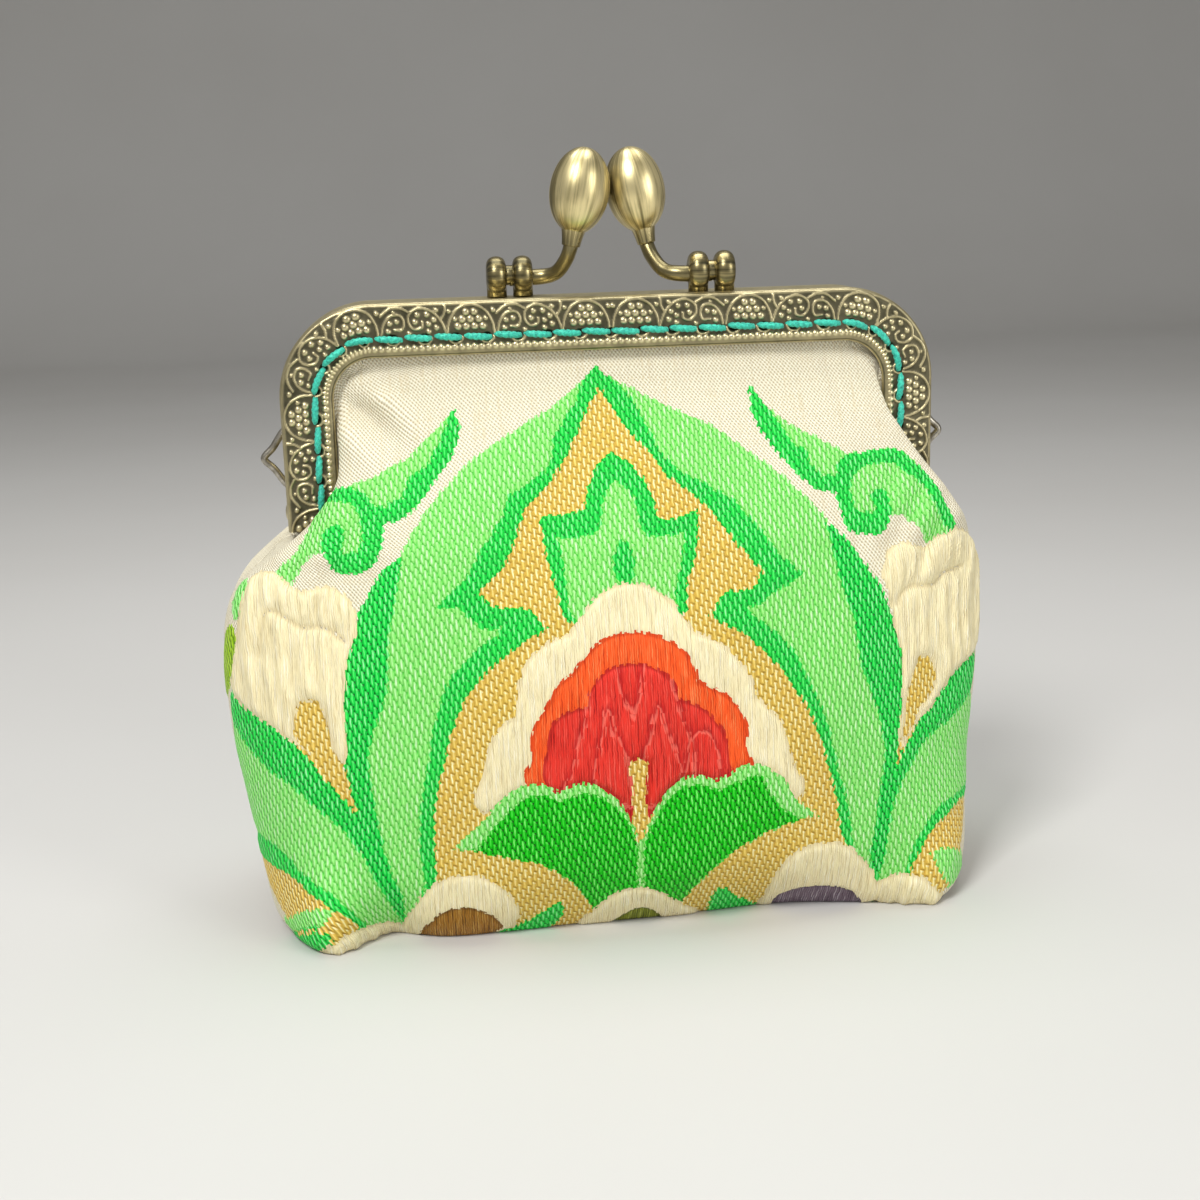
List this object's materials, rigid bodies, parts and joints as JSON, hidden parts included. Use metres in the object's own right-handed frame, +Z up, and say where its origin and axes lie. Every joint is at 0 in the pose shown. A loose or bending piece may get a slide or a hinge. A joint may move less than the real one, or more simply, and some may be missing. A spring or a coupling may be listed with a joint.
{
  "type": "fabric coin purse with a kiss-clasp frame",
  "caption": "Brocade coin purse that stands on a flat base, sewn into a hinged metal channel frame with stamped relief, a kiss clasp of two egg-shaped knobs and wire strap loops.",
  "frame": {"origin": "middle of the purse on the surface it stands on", "axes": "+X across the purse to its right seen from the front, +Y to the back, +Z up"},
  "size_m": [0.1014, 0.045, 0.0992],
  "materials": {
    "frame_brass": "antique plated sheet with a dark patina in the recesses of the stamped relief",
    "clasp_brass": "antique plated, polished, darker in the hollows",
    "loop_nickel": "satin nickel wire",
    "brocade": "woven silk brocade, a beige twill ground with green, gold, cream and red satin figures"
  },
  "bodies": {
    "root": {"frame_front": "frame_brass", "frame_back": "frame_brass", "clasp_arm_front": "clasp_brass", "clasp_arm_back": "clasp_brass", "clasp_knob_front": "clasp_brass", "clasp_knob_back": "clasp_brass", "hinge_rivet_left": "frame_brass", "hinge_rivet_right": "frame_brass", "strap_loop_left": "loop_nickel", "strap_loop_right": "loop_nickel", "pouch_front": "brocade", "pouch_back": "brocade"}
  },
  "joints": []
}
